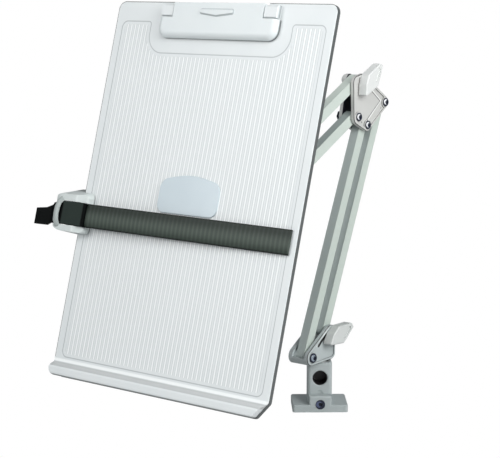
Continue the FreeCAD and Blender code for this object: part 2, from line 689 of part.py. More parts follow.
def guide_carriage():
    """Slide that wraps the board's left edge, with two ears for the hinge."""
    right = CARRIAGE_RIGHT
    left = CARRIAGE_LEFT
    front = CARRIAGE_FRONT
    edge = -BOARD_WIDTH / 2 - RIM_OUT - GRIP_ROOM - 0.1
    behind = BOARD_THICK + GRIP_ROOM
    plan = rounded_face([(right, -0.3, 0), (right, -8, 4), (right - 9, front, 6), (left + 5, front, 8),
                         (left, -4, 6), (left, 8, 6), (left + 8, CARRIAGE_BACK, 6), (right, CARRIAGE_BACK, 0),
                         (right, behind, 0), (edge, behind, 0), (edge, -0.3, 0)], in_xy)
    low = GUIDE_MIDDLE - 16.2
    rings = []
    for depth, height, radius in ((front, 33.2, 13), (CARRIAGE_BACK, 41.0, 13)):
        ring = rounded_face([(right, low, 4), (right, low + height, 5), (left, low + height, radius),
                             (left, low, 16.5)], in_xz)
        ring.translate(Vector(0, depth, 0))
        rings.append(ring.OuterWire)
    body = Part.makeLoft(rings, True, True).common(raised_z(plan, low - 1, low + 45))
    half = STRIP_HEIGHT / 2 + 0.3
    slot_low = GUIDE_MIDDLE - half
    slot_high = GUIDE_MIDDLE + half
    body = body.cut(box(left - 3, right + 17, front - 10, GUIDE_AXIS[1] + 6, slot_low, slot_high))
    body = body.cut(box(left - 3, GUIDE_AXIS[0] + 1, front - 10, CARRIAGE_BACK + 10, slot_low, slot_high))
    hole = Part.makeCylinder(1.5 + RUN, 31.4, Vector(*GUIDE_AXIS, GUIDE_MIDDLE - 15.0))
    return on_board(body.cut(hole))


def strip_holder():
    """Black holder on the hinge: block for the strip's end, shoulder and finger tab."""
    low = GUIDE_MIDDLE - HOLDER_HEIGHT / 2
    high = GUIDE_MIDDLE + HOLDER_HEIGHT / 2
    block = rounded_face([(20.5, 2.9, 1), (20.5, -4.6, 1.8), (-9.2, -4.8, 1.5), (-9.2, 0.5, 0), (-4.4, 0.5, 0),
                          (-4.4, 4.2, 2), (4.4, 4.2, 2), (4.4, 2.9, 0)], in_xy)
    body = raised_z(block, low, high)
    shoulder = rounded_face([(-9, 1.5, 0), (-9, -3.2, 0), (-16.5, -4.4, 3.5), (-21, 0.0, 4),
                             (-40.4, -1.2, 1.2), (-40.4, 2.2, 1.2), (-18, 3.6, 3)], in_xy)
    tab = raised_z(shoulder, low - 4, high)
    front = rounded_face([(-8.5, low, 0), (-8.5, high - 0.2, 0), (-18.5, high - 2.8, 6), (-28, high - 7, 6),
                          (-41, high - 8.7, 1.5), (-41, low - 2.8, 1.5), (-26.5, low - 2.4, 2), (-22.5, low, 2)],
                         in_xz)
    body = body.fuse(tab.common(raised_y(front, -10, 10)))
    half = TENON_HEIGHT / 2 + RUN
    strip_room = box(8.9, 30, -1.55, 0.85, GUIDE_MIDDLE - half, GUIDE_MIDDLE + half)
    spring_room = box(-3.4, 4.6, -3.2, 6, GUIDE_MIDDLE - 4.5, GUIDE_MIDDLE + 4.5)
    pin_hole = Part.makeCylinder(1.5 + RUN, 60, Vector(0, 0, 100))
    for index in range(4):
        ridge = box(-38.6 + index * 1.8, -37.9 + index * 1.8, -2.5, -0.75, low, high - 11.5)
        body = body.cut(ridge)
    return on_guide(body.cut(strip_room).cut(spring_room).cut(pin_hole))


def guide_pin():
    return on_guide(Part.makeCylinder(1.5, 30.8, Vector(0, 0, GUIDE_MIDDLE - 14.8)))


def guide_spring():
    """Bent leaf in the holder's pocket, pressing on the carriage."""
    strip = leaf(8.0, [(-3.0, 1.7), (0.5, 2.2), (4.2, 3.6)], 0.4)
    strip.translate(Vector(0, 0, GUIDE_MIDDLE))
    return on_guide(strip)


def guide_strip():
    """Smoked bar, flat towards the sheet and slightly domed towards the reader."""
    half = STRIP_HEIGHT / 2
    low = GUIDE_MIDDLE - half
    high = GUIDE_MIDDLE + half
    dome = Part.Arc(in_yz(-0.7, high), in_yz(-1.5, GUIDE_MIDDLE), in_yz(-0.7, low)).toShape()
    points = [in_yz(-0.7, low), in_yz(0.8, low), in_yz(0.8, high), in_yz(-0.7, high)]
    sides = [Part.makeLine(points[index], points[index + 1]) for index in range(3)]
    profile = Part.Face(Part.Wire([dome] + sides))
    strip = raised_x(profile, 9.0, STRIP_END)
    for edge_low in (low - 1, GUIDE_MIDDLE + TENON_HEIGHT / 2):
        strip = strip.cut(box(8, 20.5 + RUN, -3, 3, edge_low, edge_low + (STRIP_HEIGHT - TENON_HEIGHT) / 2 + 1))
    return on_guide(strip)


def build():
    os.makedirs("parts", exist_ok=True)
    lower = LOWER_LEAN
    upper = -90.0 - UPPER_DROP
    save("foot_plate", foot_plate())
    save("foot_screw", foot_screw())
    save("swivel_post", post())
    save("swivel_washer", swivel_washer())
    save("swivel_bolt", swivel_bolt())
    save("yoke_casting", yoke_casting())
    save("yoke_near_plate", yoke_near_plate())
    save("yoke_pivot_bolt", cap_bolt(YOKE_PIVOT, YOKE_OUTER, 4.6, 2.6, -YOKE_OUTER + 0.8))
    save("base_clamp_bolt", clamp_bolt(YOKE_REAR, YOKE_OUTER))
    save("base_clamp_lever", lever(YOKE_REAR, YOKE_OUTER, BASE_LEVER_ANGLE))
    save("lower_front_bar", bar(YOKE_PIVOT, lower, RUN))
    save("lower_rear_bar", bar(YOKE_REAR, lower, 0.2))
    save("elbow_near_plate", elbow_near_plate())
    save("elbow_far_plate", elbow_far_plate())
    save("elbow_pivot_bolts", Part.makeCompound([plate_bolt(p) for p in (ELBOW_FRONT, ELBOW_ARM)]))
    save("elbow_rear_pivot_bolt", plate_bolt(ELBOW_REAR))
    save("elbow_nuts", Part.makeCompound([far_nut(p) for p in (ELBOW_FRONT, ELBOW_ARM, ELBOW_REAR)]))
    save("elbow_clamp_bolt", clamp_bolt(ELBOW_TOP, PLATE_OUTER))
    save("elbow_clamp_lever", lever(ELBOW_TOP, PLATE_OUTER, ELBOW_LEVER_ANGLE))
    save("upper_low_bar", bar(ELBOW_ARM, upper, RUN))
    save("upper_top_bar", bar(ELBOW_TOP, upper, 0.2))
    save("head_near_plate", head_near_plate())
    save("head_far_plate", head_far_plate())
    save("head_low_pivot_bolt", plate_bolt(HEAD_LOW))
    save("head_top_pivot_bolt", plate_bolt(HEAD_TOP))
    save("head_nuts", Part.makeCompound([far_nut(p) for p in (HEAD_LOW, HEAD_TOP)]))
    save("tilt_bolt", cap_bolt(TILT_PIVOT, PLATE_OUTER, 5.2, 3.0, -PLATE_OUTER - 3.8))
    save("tilt_nut", far_nut(TILT_PIVOT))
    save("board_bracket", board_bracket())
    save("bracket_screws", bracket_screws())
    save("back_shell", back_shell())
    save("front_panel", front_panel())
    save("name_plaque", name_plaque())
    save("clip_plate", clip_plate())
    save("clip_pin", clip_pin())
    save("clip_spring", clip_spring())
    save("guide_carriage", guide_carriage())
    save("guide_pin", guide_pin())
    save("guide_spring", guide_spring())
    save("strip_holder", strip_holder())
    save("guide_strip", guide_strip())


build()
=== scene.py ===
"""Copy holder with a sliding line guide: finishes, small parts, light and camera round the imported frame."""

import json
import logging
import math
from dataclasses import dataclass, field
from enum import Enum
from typing import Any, Iterable, Sequence

import bmesh
import bpy
from mathutils import Euler, Matrix, Vector

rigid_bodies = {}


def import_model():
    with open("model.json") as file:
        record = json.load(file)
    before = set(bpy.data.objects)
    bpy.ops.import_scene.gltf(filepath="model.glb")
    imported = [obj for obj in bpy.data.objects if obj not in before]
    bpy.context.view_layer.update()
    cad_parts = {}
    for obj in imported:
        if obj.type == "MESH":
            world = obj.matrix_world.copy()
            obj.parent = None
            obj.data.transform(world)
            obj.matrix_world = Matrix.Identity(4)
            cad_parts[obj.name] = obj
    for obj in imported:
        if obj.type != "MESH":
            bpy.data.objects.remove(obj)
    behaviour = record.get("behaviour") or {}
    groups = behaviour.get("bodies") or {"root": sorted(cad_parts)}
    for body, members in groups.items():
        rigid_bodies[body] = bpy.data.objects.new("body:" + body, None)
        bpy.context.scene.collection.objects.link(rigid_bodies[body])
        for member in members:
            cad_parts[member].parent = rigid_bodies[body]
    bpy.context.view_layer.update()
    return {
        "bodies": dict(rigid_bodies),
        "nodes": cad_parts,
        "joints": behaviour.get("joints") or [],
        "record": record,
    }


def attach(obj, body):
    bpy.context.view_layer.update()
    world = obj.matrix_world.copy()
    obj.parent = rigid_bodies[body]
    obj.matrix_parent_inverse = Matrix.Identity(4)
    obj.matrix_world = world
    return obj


Colour = tuple[float, float, float]
Point = tuple[float, float, float]
Reach = tuple[float, float]

LOG = logging.getLogger("copy_holder")
MM = 0.001
# Step in which painted edges are softened
HAIR = 0.1 * MM

# Board: lean from upright, the pivot behind it, and the guide's height on it
BOARD_TILT = math.radians(16.2)
TILT_PIVOT = Vector((0, -172.0, 188.0)) * MM
TILT_BACK = 24.0 * MM
TILT_HEIGHT = 130.0 * MM
GUIDE_HEIGHT = 130.7 * MM
STRIP_HALF = 10.45 * MM
TAB_ROOT = -143.0 * MM

# Ribbed field on the board: its ribs, its outline and the room left round the clip, which place the ribs'
# painted highlights and shade and the border's painted shade
RIB_PITCH = 4.5 * MM
RIB_HALF = 0.65 * MM
RIB_FOOT = 1.3 * MM
FIELD_HALF = 112.5 * MM
FIELD_LOW = 5.5 * MM
FIELD_HIGH = 308.7 * MM
FIELD_CORNER = 6.0 * MM
CLIP_ROOM_HALF = 78.0 * MM
CLIP_ROOM_LOW = 280.9 * MM
CLIP_ROOM_CORNER = 17.0 * MM
BORDER_WIDTH = 3.0 * MM

# Ledge and lugs, as heights above the ledge line and depths behind the board's face, which place the painted
# highlight above the ledge and the painted shade in its hollow, under it and beside the lugs
BROW_TOP = 3.6 * MM
BROW_LOW = 1.3 * MM
LEDGE_TOP = 0.7 * MM
LEDGE_FLOOR = -3.3 * MM
LEDGE_FOOT = -10.4 * MM
LEDGE_SOFT = 0.3 * MM
LUG_FLOOR = 312.9 * MM
LUG_SHADE: Reach = (-4.5 * MM, -1.0 * MM)
LUG_ROOT: Reach = (-0.6 * MM, -0.1 * MM)

# Arm: leans of its bars from upright, and where its faces lie along the pivots
LOWER_LEAN = math.radians(22.7)
UPPER_DROP = math.radians(-118.2)
INNER_FACE = -5.8 * MM
NEAR_FACE = 9.4 * MM
YOKE_FACE = 11.2 * MM
BAR_FACE = 4.5 * MM
PIVOTS = {
    "elbow_low": Vector((0, 62.37, 265.26)) * MM,
    "elbow_high": Vector((0, 47.37, 273.76)) * MM,
    "elbow_rear": Vector((0, 91.87, 285.26)) * MM,
    "yoke": Vector((0, -26.0, 54.0)) * MM,
}

# Foot and post
FOOT_TURN = math.radians(40.0)
POST_HALF = 11.5 * MM
BORE_HEIGHT = 30.7 * MM
BORE_RADIUS = 6.75 * MM
BORE_DEPTH = 19.0 * MM
FOOT_SCREW_HEIGHT = 7.5 * MM

# Colour wander that every plain surface has: features per metre, and the noise values between which it rises
PATCH_SCALE = 22.0
PATCH_REACH: Reach = (0.32, 0.72)
SPECK_SCALE = 900.0
SPECK_REACH: Reach = (0.55, 0.80)
SPECK_SHARE = 0.25
COAT_ROUGHNESS = 0.12
WHITE = (1.0, 1.0, 1.0, 1.0)


class Space(Enum):
    """Which way a surface pattern lies."""

    ROW = "row"
    BOARD = "board"
    LOWER_BARS = "lower bars"
    UPPER_BARS = "upper bars"
    BORE = "post's bore"


def board_matrix() -> Matrix:
    """Place of the board.

    Returns:
        Matrix that carries upright board coordinates to it.
    """
    turn = Matrix.Rotation(-BOARD_TILT, 4, "X")
    back = turn @ Vector((0, 1, 0))
    rise = turn @ Vector((0, 0, 1))
    origin = TILT_PIVOT - back * TILT_BACK - rise * TILT_HEIGHT
    return Matrix.Translation(origin) @ turn


def bore_matrix() -> Matrix:
    """Matrix whose Y runs into the post's bore from the middle of its mouth."""
    turn = Matrix.Rotation(FOOT_TURN, 4, "Z")
    return turn @ Matrix.Translation(Vector((0, -POST_HALF, BORE_HEIGHT)))


SPACE_MATRICES: dict[Space, Matrix] = {
    Space.ROW: Matrix.Identity(4),
    Space.BOARD: board_matrix(),
    Space.LOWER_BARS: Matrix.Rotation(-LOWER_LEAN, 4, "X"),
    Space.UPPER_BARS: Matrix.Rotation(-UPPER_DROP, 4, "X"),
    Space.BORE: bore_matrix(),
}


class Signal:
    """A shader socket that takes ordinary arithmetic.

    Args:
        graph: the graph that owns the socket.
        socket: the output socket that carries the value, or None for a node without outputs.
    """

    def __init__(self, graph: "Graph", socket: bpy.types.NodeSocket | None) -> None:
        """Hold the socket and its graph."""
        self.graph = graph
        self.socket = socket

    def _maths(self, operation: str, *values: Any, clamp: bool = False) -> "Signal":
        """One Math node over the values.

        Args:
            operation: the node's operation.
            values: its inputs in order.
            clamp: whether the result is held between 0 and 1.

        Returns:
            The result.
        """
        settings = {"operation": operation, "use_clamp": clamp}
        return self.graph.node("ShaderNodeMath", settings, dict(enumerate(values)))

    def __add__(self, other: Any) -> "Signal":
        """Sum."""
        return self._maths("ADD", self, other)

    def __sub__(self, other: Any) -> "Signal":
        """Difference."""
        return self._maths("SUBTRACT", self, other)

    def __mul__(self, other: Any) -> "Signal":
        """Product."""
        return self._maths("MULTIPLY", self, other)

    def __truediv__(self, other: Any) -> "Signal":
        """Quotient."""
        return self._maths("DIVIDE", self, other)

    def __radd__(self, other: Any) -> "Signal":
        """Sum with a plain number first."""
        return self._maths("ADD", other, self)

    def __rsub__(self, other: Any) -> "Signal":
        """Difference with a plain number first."""
        return self._maths("SUBTRACT", other, self)

    def __rmul__(self, other: Any) -> "Signal":
        """Product with a plain number first."""
        return self._maths("MULTIPLY", other, self)

    def size(self) -> "Signal":
        """Value without its sign."""
        return self._maths("ABSOLUTE", self)

    def root(self) -> "Signal":
        """Square root."""
        return self._maths("SQRT", self)

    def least(self, other: Any) -> "Signal":
        """Smaller of two values."""
        return self._maths("MINIMUM", self, other)

    def most(self, other: Any) -> "Signal":
        """Larger of two values."""
        return self._maths("MAXIMUM", self, other)

    def wrapped(self) -> "Signal":
        """Part after the decimal point."""
        return self._maths("FRACT", self)

    def clamped(self) -> "Signal":
        """Value held between 0 and 1."""
        return self._maths("ADD", self, 0.0, clamp=True)

    def step(self, low: float, high: float) -> "Signal":
        """Smooth rise from 0 at low to 1 at high.

        Args:
            low: value where the rise starts.
            high: value where it ends.

        Returns:
            The risen value.
        """
        settings = {"interpolation_type": "SMOOTHSTEP", "clamp": True}
        sockets = {"Value": self, "From Min": low, "From Max": high}
        return self.graph.node("ShaderNodeMapRange", settings, sockets)

    def above(self, limit: float, soft: float = HAIR) -> "Signal":
        """1 above a limit and 0 below it, softened to each side."""
        return self.step(limit - soft, limit + soft)

    def below(self, limit: float, soft: float = HAIR) -> "Signal":
        """1 below a limit and 0 above it, softened to each side."""
        return 1.0 - self.above(limit, soft)

    def from_comb(self, pitch: float) -> "Signal":
        """Distance from the nearest of evenly spaced places, one of them at 0, as a share of their pitch."""
        phase = (self / pitch + 0.5).wrapped()
        return 0.5 - (phase - 0.5).size()


class Graph:
    """Node tree of one material or of the world.

    Args:
        owner: the material or world.
    """

    def __init__(self, owner: bpy.types.Material | bpy.types.World) -> None:
        """Empty the owner's tree."""
        self.owner = owner
        owner.use_nodes = True
        self.tree = owner.node_tree
        self.tree.nodes.clear()

    def node(self, kind: str, settings: dict[str, Any] | None = None, sockets: dict[Any, Any] | None = None,
             output: Any = 0) -> Signal:
        """Add a node, set it up and return one of its outputs.

        Args:
            kind: the node's type.
            settings: attributes of the node.
            sockets: inputs by name or number, each a Signal or a constant.
            output: name or number of the output that is returned.

        Returns:
            The chosen output.
        """
        made = self.tree.nodes.new(kind)
        for key, value in (settings or {}).items():
            setattr(made, key, value)
        for key, value in (sockets or {}).items():
            if isinstance(value, Signal):
                self.tree.links.new(value.socket, made.inputs[key])
            else:
                made.inputs[key].default_value = value
        return Signal(self, made.outputs[output] if len(made.outputs) else None)

    def vector(self, operation: str, *values: Any, output: str = "Vector") -> Signal:
        """One Vector Math node over the values.

        Args:
            operation: the node's operation.
            values: its inputs in order.
            output: name of the output that is returned.

        Returns:
            The result.
        """
        return self.node("ShaderNodeVectorMath", {"operation": operation}, dict(enumerate(values)), output)

    def place(self, space: Space, centre: Point) -> Signal:
        """Object coordinates turned to a space and counted from a centre, in metres.

        Args:
            space: the space whose axes the pattern follows.
            centre: point of that space where the coordinates are zero.

        Returns:
            The coordinate vector.
        """
        coordinates = self.node("ShaderNodeTexCoord", output="Object")
        inverse = (SPACE_MATRICES[space] @ Matrix.Translation(Vector(centre))).inverted()
        sockets = {
            "Vector": coordinates,
            "Location": inverse.to_translation(),
            "Rotation": inverse.to_euler(),
        }
        return self.node("ShaderNodeMapping", {"vector_type": "POINT"}, sockets)

    def axis(self, vector: Signal, name: str) -> Signal:
        """One component of a vector."""
        return self.node("ShaderNodeSeparateXYZ", sockets={0: vector}, output=name)

    def stretched(self, vector: Signal, factors: Point) -> Signal:
        """Vector multiplied component by component."""
        return self.vector("MULTIPLY", vector, factors)

    def near(self, vector: Signal, point: Vector) -> Signal:
        """Distance from a point."""
        return self.vector("LENGTH", self.vector("SUBTRACT", vector, point), output="Value")

    def beside(self, vector: Signal, start: Vector, end: Vector) -> Signal:
        """Distance from a straight line between two points.

        Args:
            vector: where it is measured.
            start: one end of the line.
            end: its other end.

        Returns:
            The distance.
        """
        along = end - start
        offset = self.vector("SUBTRACT", vector, start)
        share = self.vector("DOT_PRODUCT", offset, along, output="Value") / along.length_squared
        foot = self.node("ShaderNodeVectorMath", {"operation": "SCALE"}, {0: along, "Scale": share.clamped()})
        return self.vector("LENGTH", self.vector("SUBTRACT", offset, foot), output="Value")

    def noise(self, vector: Signal, scale: float, detail: float = 2.0, rough: float = 0.5) -> Signal:
        """Cloudy value about 0.5.

        Args:
            vector: where it is sampled, in metres.
            scale: features per metre.
            detail: octaves.
            rough: weight of the finer octaves.

        Returns:
            The value.
        """
        sockets = {"Vector": vector, "Scale": scale, "Detail": detail, "Roughness": rough}
        return self.node("ShaderNodeTexNoise", sockets=sockets, output="Fac")

    def blend(self, factor: Any, first: Any, second: Any) -> Signal:
        """Colour between two colours.

        Args:
            factor: 0 for the first, 1 for the second.
            first: a Signal or a plain colour.
            second: a Signal or a plain colour.

        Returns:
            The mixed colour.
        """
        ends = [(*value, 1.0) if isinstance(value, tuple) else value for value in (first, second)]
        settings = {"data_type": "RGBA", "clamp_factor": True}
        return self.node("ShaderNodeMix", settings, {0: factor, 6: ends[0], 7: ends[1]}, output=2)

    def bump(self, height: Signal, distance: float) -> Signal:
        """Normal roughened by a height, where a height of 1 stands for the distance in metres."""
        return self.node("ShaderNodeBump", sockets={"Height": height, "Distance": distance, "Strength": 1.0})

    def finish(self, sockets: dict[str, Any]) -> bpy.types.Material:
        """Close a material's tree with one surface shader.

        Args:
            sockets: inputs of the surface shader.

        Returns:
            The finished material.
        """
        surface = self.node("ShaderNodeBsdfPrincipled", sockets=sockets)
        self.node("ShaderNodeOutputMaterial", sockets={"Surface": surface})
        return self.owner

    def white_to_camera(self, lit: Signal, white: Signal, output: str) -> None:
        """Close a tree that shows one shader to the camera and another to the light.

        Args:
            lit: the shader that the light meets.
            white: the shader that the camera sees.
            output: type of the output node.
        """
        seen = self.node("ShaderNodeLightPath", output="Is Camera Ray")
        chosen = self.node("ShaderNodeMixShader", sockets={0: seen, 1: lit, 2: white})
        self.node(output, sockets={"Surface": chosen})


@dataclass(frozen=True)
class Skin:
    """How a surface scatters light.

    Args:
        roughness: mean roughness.
        spread: how far the roughness wanders.
        grain: size of the surface grain in metres.
        depth: height of that grain in metres.
    """

    roughness: float
    spread: float
    grain: float
    depth: float


@dataclass(frozen=True)
class Finish:
    """A moulded or painted surface.

    Args:
        name: the material's name.
        colour: main colour, linear.
        shade: colour of its slightly darker patches.
        skin: how it scatters light.
        metallic: share of metal.
        coat: weight of a clear coat.
        space: which way its patterns lie.
        centre: point of that space that its patterns are counted from.
        streak: stretch of the patches along X, Y and Z.
        wander: features per metre of the roughness.
    """

    name: str
    colour: Colour
    shade: Colour
    skin: Skin
    metallic: float = 0.0
    coat: float = 0.0
    space: Space = Space.ROW
    centre: Point = (0.0, 0.0, 0.0)
    streak: Point = (1.0, 1.0, 1.0)
    wander: float = 60.0

    def tint(self, graph: Graph, vector: Signal) -> Signal:
        """Colour over the surface.

        Args:
            graph: the material's graph.
            vector: coordinates in the finish's space.

        Returns:
            The colour.
        """
        patches = graph.noise(graph.stretched(vector, self.streak), PATCH_SCALE, 3.0)
        specks = graph.noise(vector, SPECK_SCALE, 1.0)
        amount = patches.step(*PATCH_REACH) * (1.0 - SPECK_SHARE) + specks.step(*SPECK_REACH) * SPECK_SHARE
        return graph.blend(amount, self.colour, self.shade)

    def relief(self, graph: Graph, vector: Signal) -> Signal:
        """Normal over the surface."""
        grain = graph.noise(graph.stretched(vector, self.streak), 1.0 / self.skin.grain, 2.0, 0.6)
        return graph.bump(grain, self.skin.depth)

    def extras(self, graph: Graph, vector: Signal) -> dict[str, Any]:
        """Further inputs of the surface shader."""
        return {"Coat Weight": self.coat, "Coat Roughness": COAT_ROUGHNESS}

    def build(self) -> bpy.types.Material:
        """Make the material.

        Returns:
            The material.
        """
        graph = Graph(bpy.data.materials.new(self.name))
        vector = graph.place(self.space, self.centre)
        wander = graph.noise(graph.stretched(vector, self.streak), self.wander) - 0.5
        sockets = {
            "Base Color": self.tint(graph, vector),
            "Roughness": (wander * (2 * self.skin.spread) + self.skin.roughness).clamped(),
            "Metallic": self.metallic,
            "Normal": self.relief(graph, vector),
        }
        sockets.update(self.extras(graph, vector))
        return graph.finish(sockets)


def rounded_corner(first: Signal, second: Signal, radius: float) -> Signal:
    """Distance outside two straight sides that meet in a rounded corner.

    Args:
        first: distance outside one side, negative within.
        second: distance outside the other side.
        radius: the corner's radius.

    Returns:
        The joint distance, negative within both sides.
    """
    one = (first + radius).most(0.0)
    two = (second + radius).most(0.0)
    return (one * one + two * two).root() + first.most(second).least(-radius)


@dataclass(frozen=True)
class RibbedFinish(Finish):
    """White moulding with a ribbed field, a fine border round it and a hollowed ledge below, with painted
    highlights and painted shade on them.

    Args:
        dark: colour of the painted shade on the walls beside the lugs.
        rib: colour of the painted highlight on the ribs' crests.
        groove: colour of the painted shade at the ribs' feet.
        line: colour of the painted shade along the field's border.
        hollow: colour of the painted shade in the ledge's hollow.
        foot: colour of the painted shade under the ledge.
        brow: colour of the painted highlight on the strip above the ledge.
    """

    dark: Colour = (0.30, 0.33, 0.34)
    rib: Colour = (0.88, 0.91, 0.91)
    groove: Colour = (0.56, 0.59, 0.595)
    line: Colour = (0.45, 0.48, 0.49)
    hollow: Colour = (0.50, 0.52, 0.52)
    foot: Colour = (0.22, 0.24, 0.24)
    brow: Colour = (0.90, 0.93, 0.93)

    def outside(self, across: Signal, height: Signal) -> Signal:
        """Distance outside the ribbed field.

        Args:
            across: distance from the board's middle.
            height: height above the ledge line.

        Returns:
            The distance, negative within the field.
        """
        top = rounded_corner(across - FIELD_HALF, height - FIELD_HIGH, FIELD_CORNER)
        outer = top.most(rounded_corner(across - FIELD_HALF, FIELD_LOW - height, FIELD_CORNER))
        room = rounded_corner(across - CLIP_ROOM_HALF, CLIP_ROOM_LOW - height, CLIP_ROOM_CORNER)
        return rounded_corner(outer, 0.0 - room, FIELD_CORNER / 2)

    def ribbed(self, graph: Graph, across: Signal, outside: Signal, plain: Signal) -> Signal:
        """Colour with a painted highlight on each rib's crest and painted shade at its feet.

        Args:
            graph: the material's graph.
            across: place along the board's width.
            outside: distance outside the ribbed field.
            plain: colour before.

        Returns:
            The colour.
        """
        off = across.from_comb(RIB_PITCH) * RIB_PITCH
        inside = outside.below(-BORDER_WIDTH - HAIR)
        feet = off.above(RIB_HALF) * off.below(RIB_FOOT, 2 * HAIR) * inside
        return graph.blend(off.below(RIB_HALF) * inside, graph.blend(feet, plain, self.groove), self.rib)

    def ledged(self, graph: Graph, height: Signal, plain: Signal) -> Signal:
        """Colour with a painted highlight on the strip above the ledge, painted shade in its hollow and
        painted shade at its foot.

        Args:
            graph: the material's graph.
            height: height above the ledge line.
            plain: colour before.

        Returns:
            The colour.
        """
        hollow = height.below(LEDGE_TOP, LEDGE_SOFT) * height.above(LEDGE_FLOOR, LEDGE_SOFT)
        brow = height.above(BROW_LOW, LEDGE_SOFT) * height.below(BROW_TOP, 2 * LEDGE_SOFT)
        shaped = graph.blend(brow, graph.blend(hollow, plain, self.hollow), self.brow)
        return graph.blend(height.below(LEDGE_FOOT, LEDGE_SOFT), shaped, self.foot)

    def tint(self, graph: Graph, vector: Signal) -> Signal:
        """Colour with painted highlights and shade on the ribs, painted shade along the field's border,
        painted highlight and shade at the ledge, and painted shade on the walls beside the lugs.

        Args:
            graph: the material's graph.
            vector: board coordinates.

        Returns:
            The colour.
        """
        plain = super().tint(graph, vector)
        across = graph.axis(vector, "X")
        height = graph.axis(vector, "Z")
        depth = graph.axis(vector, "Y")
        front = depth.above(-2 * HAIR)
        outside = self.outside(across.size(), height)
        ribbed = graph.blend(front, plain, self.ribbed(graph, across, outside, plain))
        # Painted shade along the step of the field's border
        border = (1.0 - (outside + 2 * HAIR).size().step(3 * HAIR, 6 * HAIR)) * front
        ledged = self.ledged(graph, height, graph.blend(border, ribbed, self.line))
        # Painted shade on the walls of the narrow gaps beside the lugs
        walls = depth.step(*LUG_SHADE) * height.above(LUG_FLOOR + 2 * HAIR, 2 * HAIR)
        return graph.blend(walls * (1.0 - depth.step(*LUG_ROOT)), ledged, self.dark)


@dataclass(frozen=True)
class RimmedFinish(Finish):
    """Moulding with painted shade on its walls, so that they are darker than its face.

    Args:
        dark: colour of the painted shade on the walls.
        reach: depths between which the painted shade sets in.
        raised: depths between which the slopes of its raised grip lie.
        edge: colour of the painted shade on those slopes.
    """

    dark: Colour = (0.10, 0.115, 0.12)
    reach: Reach = (-3.0 * MM, -1.0 * MM)
    raised: Reach | None = None
    edge: Colour = (0.46, 0.50, 0.51)

    def tint(self, graph: Graph, vector: Signal) -> Signal:
        """Colour with painted shade towards the board and on the slopes of the raised grip.

        Args:
            graph: the material's graph.
            vector: board coordinates.

        Returns:
            The colour.
        """
        plain = super().tint(graph, vector)
        depth = graph.axis(vector, "Y")
        rimmed = graph.blend(depth.step(*self.reach), plain, self.dark)
        if self.raised is None:
            return rimmed
        low, high = self.raised
        slopes = depth.above(low + HAIR) * depth.below(high - HAIR)
        return graph.blend(slopes, rimmed, self.edge)


@dataclass(frozen=True)
class FarPlateFinish(Finish):
    """Painted plate whose colour turns near black on its inner face.

    Args:
        inner: colour of the inner face.
    """

    inner: Colour = (0.012, 0.013, 0.022)

    def tint(self, graph: Graph, vector: Signal) -> Signal:
        """Colour that turns dark on the face between the plates."""
        inside = graph.axis(vector, "X").above(INNER_FACE - 2 * HAIR)
        return graph.blend(inside, super().tint(graph, vector), self.inner)


@dataclass(frozen=True)
class BoredFinish(Finish):
    """Casting with painted shade inside its round bore.

    Args:
        inner: colour of the painted shade on the bore's wall.
        end: colour of the painted shade at its end.
    """

    inner: Colour = (0.022, 0.020, 0.022)
    end: Colour = (0.16, 0.16, 0.165)

    def tint(self, graph: Graph, vector: Signal) -> Signal:
        """Colour with painted shade inside the bore.

        Args:
            graph: the material's graph.
            vector: coordinates of the bore.

        Returns:
            The colour.
        """
        plain = super().tint(graph, vector)
        across = graph.axis(vector, "X")
        rise = graph.axis(vector, "Z")
        depth = graph.axis(vector, "Y")
        inside = (across * across + rise * rise).root().below(BORE_RADIUS + 2 * HAIR)
        lined = graph.blend(inside * depth.above(4 * HAIR, 2 * HAIR), plain, self.inner)
        return graph.blend(inside * depth.above(BORE_DEPTH - 15 * HAIR, 5 * HAIR), lined, self.end)


@dataclass(frozen=True)
class BarFinish(Finish):
    """Painted square bar with painted shade on its narrow sides, which are darker than its outer face.

    Args:
        side: colour of the painted shade on the narrow sides.
    """

    side: Colour = (0.42, 0.48, 0.465)

    def tint(self, graph: Graph, vector: Signal) -> Signal:
        """Colour with painted shade away from the outer face."""
        outer = graph.axis(vector, "X").above(BAR_FACE - 4 * HAIR, 2 * HAIR)
        return graph.blend(outer, self.side, super().tint(graph, vector))


@dataclass(frozen=True)
class PaintedLine:
    """A painted line on the face of a plate: the pale ones are painted highlights and the dark ones painted
    shade.

    Args:
        start: one end, on the plate's face.
        end: its other end.
        half_width: half of its width.
        colour: its colour.
    """

    start: Vector
    end: Vector
    half_width: float
    colour: Colour


@dataclass(frozen=True)
class SunkFinish(Finish):
    """Painted plate with painted shade down the walls of its sunk middle, and painted lines of highlight and
    shade.

    Args:
        painted_lines: the painted lines on its face, the topmost last.
        line: colour of the painted shade on the walls.
        reach: X between which the walls lie.
        face_depth: how far below the walls the faces that take the painted lines reach.
        soft: softness of the painted lines' edges.
    """

    painted_lines: tuple[PaintedLine, ...] = ()
    line: Colour = (0.05, 0.05, 0.05)
    reach: Reach = (NEAR_FACE - 7 * HAIR, NEAR_FACE - HAIR)
    face_depth: float = 0.9 * MM
    soft: float = 0.15 * MM

    def tint(self, graph: Graph, vector: Signal) -> Signal:
        """Colour with painted shade on the walls between the rim's face and the sunk face, and the painted
        lines.

        Args:
            graph: the material's graph.
            vector: coordinates along the pivots.

        Returns:
            The colour.
        """
        colour = super().tint(graph, vector)
        depth = graph.axis(vector, "X")
        low, high = self.reach
        walls = depth.step(low, low + HAIR) * (1.0 - depth.step(high - HAIR, high))
        face = depth.step(low - self.face_depth - 3 * HAIR, low - self.face_depth)
        flat = graph.stretched(vector, (0.0, 1.0, 1.0))
        for painted_line in self.painted_lines:
            mark = graph.beside(flat, painted_line.start, painted_line.end).below(painted_line.half_width, self.soft)
            colour = graph.blend(mark * face, colour, painted_line.colour)
        return graph.blend(walls, colour, self.line)


